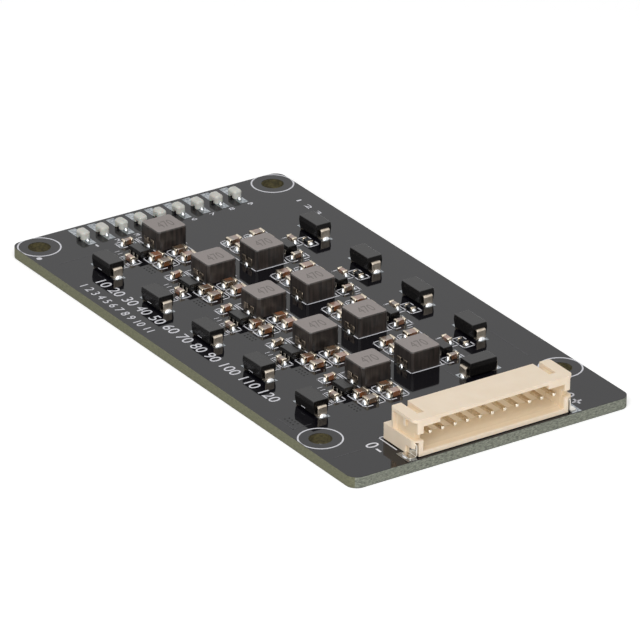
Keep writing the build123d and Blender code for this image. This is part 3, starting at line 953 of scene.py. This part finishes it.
# Rings round the mounting holes, trimmed at the board's edges
RING_RADIUS = 3.0 * MM
RING_LINE = 0.22 * MM
EDGE_GAP = 0.05 * MM
HOLE_EDGE = 19.5 * MM
HOLE_XS = (-39.6 * MM, 30.4 * MM)
rings = bmesh.new()
for hole_x in HOLE_XS:
    for hole_y in (HOLE_EDGE, -HOLE_EDGE):
        inner = RING_RADIUS - RING_LINE / 2
        profile = [
            rings.verts.new((hole_x + inner + step_x, hole_y, BOARD_TOP + step_z))
            for step_x, step_z in ((0, 0), (RING_LINE, 0), (RING_LINE, INK), (0, INK))
        ]
        sides = [
            rings.edges.new((profile[step - 1], profile[step])) for step in range(4)
        ]
        bmesh.ops.spin(
            rings,
            geom=[*profile, *sides],
            cent=(hole_x, hole_y, 0),
            axis=(0, 0, 1),
            angle=math.tau,
            steps=72,
            use_merge=True,
        )
for normal, edge in (
    ((0, 1, 0), board_high.y),
    ((0, -1, 0), -board_low.y),
    ((-1, 0, 0), -board_low.x),
):
    bmesh.ops.bisect_plane(
        rings,
        geom=[*rings.verts, *rings.edges, *rings.faces],
        plane_co=Vector(normal) * (edge - EDGE_GAP),
        plane_no=normal,
        clear_outer=True,
    )
cut_ends = [edge for edge in rings.edges if edge.is_boundary]
bmesh.ops.edgeloop_fill(rings, edges=cut_ends)
bmesh.ops.recalc_face_normals(rings, faces=rings.faces)
new_piece("hole_rings", rings, PRINT)

# Copper outlines that show through the mask, between ends in millimetres
COPPER_LINE = 0.14 * MM
COPPER_LIFT = 0.012 * MM
copper = bmesh.new()
for ends in (
    ((11.0, 18.0), (25.0, 18.0)),
    ((22.5, -21.0), (26.2, -21.0)),
    ((26.2, -21.0), (26.2, -18.2)),
    ((36.0, -17.0), (36.0, -21.3)),
    ((22.4, 6.0), (30.5, 6.0)),
    ((-33.5, -20.0), (-33.5, -14.5)),
):
    start, end = ((x * MM, y * MM) for x, y in ends)
    stroke(start, end, COPPER_LINE, copper, COPPER_LIFT)
new_piece("copper_outlines", copper, COPPER_EDGE)

# Plugged vias, in grids whose rows are each set a little further along
VIA_RADIUS = 0.13 * MM
VIA_COLUMNS = 4
VIA_ROWS = 2
vias = bmesh.new()


def via_group(x, y, pitch_x, pitch_y, skew):
    """One grid of plugged vias, from its first column and row."""
    for row in range(VIA_ROWS):
        for column in range(VIA_COLUMNS):
            place = (x + column * pitch_x + row * skew, y - row * pitch_y)
            bmesh.ops.create_cone(
                vias,
                cap_ends=True,
                segments=10,
                radius1=VIA_RADIUS,
                radius2=VIA_RADIUS,
                depth=INK,
                matrix=Matrix.Translation((*place, BOARD_TOP + INK / 2)),
            )


via_group(23.2 * MM, -19.6 * MM, 0.65 * MM, 0.65 * MM, -0.1 * MM)
for number in range(1, NEAR_CHANNELS + 1):
    centre = middle(f"inductor_{number}")
    via_group(centre.x + 5.5 * MM, centre.y - 6.2 * MM, 0.62 * MM, 0.6 * MM, 0.05 * MM)
new_piece("plugged_vias", vias, VIA_FILL)

# A short light dash low on the near diodes' sides, in the print's colour
DASH_SIZE = (0.9 * MM, 0.05 * MM, 0.07 * MM)
DASH_SHIFT = 0.25 * MM
DASH_DEPTH = 0.07 * MM
DASH_HEIGHT = 0.52 * MM
side_dashes = bmesh.new()
for number in range(1, DIODES + 1):
    low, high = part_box(f"clamp_diode_{number:02d}")
    if high.x - low.x > high.y - low.y and high.y < 0:
        dash_x = (low.x + high.x) / 2 - DASH_SHIFT
        add_block(side_dashes, (dash_x, low.y + DASH_DEPTH, BOARD_TOP + DASH_HEIGHT), DASH_SIZE)
new_piece("diode_side_dashes", side_dashes, PRINT)


# Floor, light and camera

FLOOR_GAP = 0.05 * MM
FLOOR_HALF = 3.0
SOFT_LIGHT = 0.37


def seen_directly(owner):
    """One where the camera, or a shiny or clear surface, sees it, and zero elsewhere."""
    ray = add_node(owner, "LightPath")
    seen = ray.outputs["Is Camera Ray"]
    for kind in ("Is Glossy Ray", "Is Transmission Ray"):
        seen = add_node(
            owner, "Math", {0: seen, 1: ray.outputs[kind]}, operation="MAXIMUM"
        ).outputs[0]
    return seen


def white_floor():
    """Matt white paper: the camera and shiny surfaces see it a little lighter, so it
    reaches white and keeps the part's shadow."""
    material, shader, place = new_material("matt_white_paper", Roughness=0.9)
    tooth = add_node(material, "TexNoise", {"Vector": place, "Scale": 1 / (0.4 * MM)})
    tone = add_node(
        material,
        "Mix",
        {0: tooth.outputs["Fac"], 6: colour("#f0f0f0"), 7: colour("#f4f4f4")},
        data_type="RGBA",
    )
    link(material, tone.outputs[2], shader.inputs["Base Color"])
    seen = seen_directly(material)
    lift = add_node(material, "MapRange", {"Value": seen, "To Min": 0.0, "To Max": 0.3})
    shader.inputs["Emission Color"].default_value = (1.0, 1.0, 1.0, 1.0)
    link(material, lift.outputs["Result"], shader.inputs["Emission Strength"])
    return material


# The floor lies just under the board, so that no two faces share a place
floor_shape = bmesh.new()
bmesh.ops.create_grid(
    floor_shape,
    x_segments=1,
    y_segments=1,
    size=FLOOR_HALF,
    matrix=Matrix.Translation((0, 0, board_low.z - FLOOR_GAP)),
)
floor_mesh = bpy.data.meshes.new("floor")
floor_shape.to_mesh(floor_mesh)
floor_shape.free()
floor_mesh.materials.append(white_floor())
floor = bpy.data.objects.new("floor", floor_mesh)
bpy.context.scene.collection.objects.link(floor)


def backdrop_world():
    """Soft even light; the camera and shiny surfaces see it as white."""
    world = bpy.data.worlds.new("studio")
    world.use_nodes = True
    background = world.node_tree.nodes["Background"]
    background.inputs["Color"].default_value = (1.0, 1.0, 1.0, 1.0)
    seen = seen_directly(world)
    strength = add_node(
        world, "MapRange", {"Value": seen, "To Min": SOFT_LIGHT, "To Max": 1.0}
    )
    link(world, strength.outputs["Result"], background.inputs["Strength"])
    bpy.context.scene.world = world


def soft_box(name, place, size, power):
    """A square area lamp that looks at the middle of the part."""
    data = bpy.data.lights.new(name, "AREA")
    data.shape = "SQUARE"
    data.size = size
    data.energy = power
    lamp = bpy.data.objects.new(name, data)
    lamp.location = place
    lamp.rotation_euler = (-Vector(place)).to_track_quat("-Z", "Y").to_euler()
    bpy.context.scene.collection.objects.link(lamp)


backdrop_world()
soft_box("key", (0.32, -0.26, 0.5), 0.72, 3.1)
soft_box("front_fill", (0.8, -0.75, 0.6), 0.8, 3.9)

CAMERA_PLACE = Vector((0.71604, -0.48750, 0.42313))
CAMERA_LOOK = Vector((-0.742759, 0.506665, -0.437721))
CAMERA_ROLL = math.radians(0.7)
LENS = 397.04

camera_data = bpy.data.cameras.new("camera")
camera_data.sensor_width = 36.0
camera_data.sensor_fit = "AUTO"
camera_data.lens = LENS
camera_data.clip_start = 0.01
camera = bpy.data.objects.new("camera", camera_data)
camera.location = CAMERA_PLACE
aim = CAMERA_LOOK.to_track_quat("-Z", "Y").to_matrix().to_4x4()
camera.rotation_euler = (aim @ Matrix.Rotation(CAMERA_ROLL, 4, "Z")).to_euler()
bpy.context.scene.collection.objects.link(camera)
bpy.context.scene.camera = camera
bpy.context.scene.view_settings.view_transform = "Standard"

bpy.context.view_layer.update()
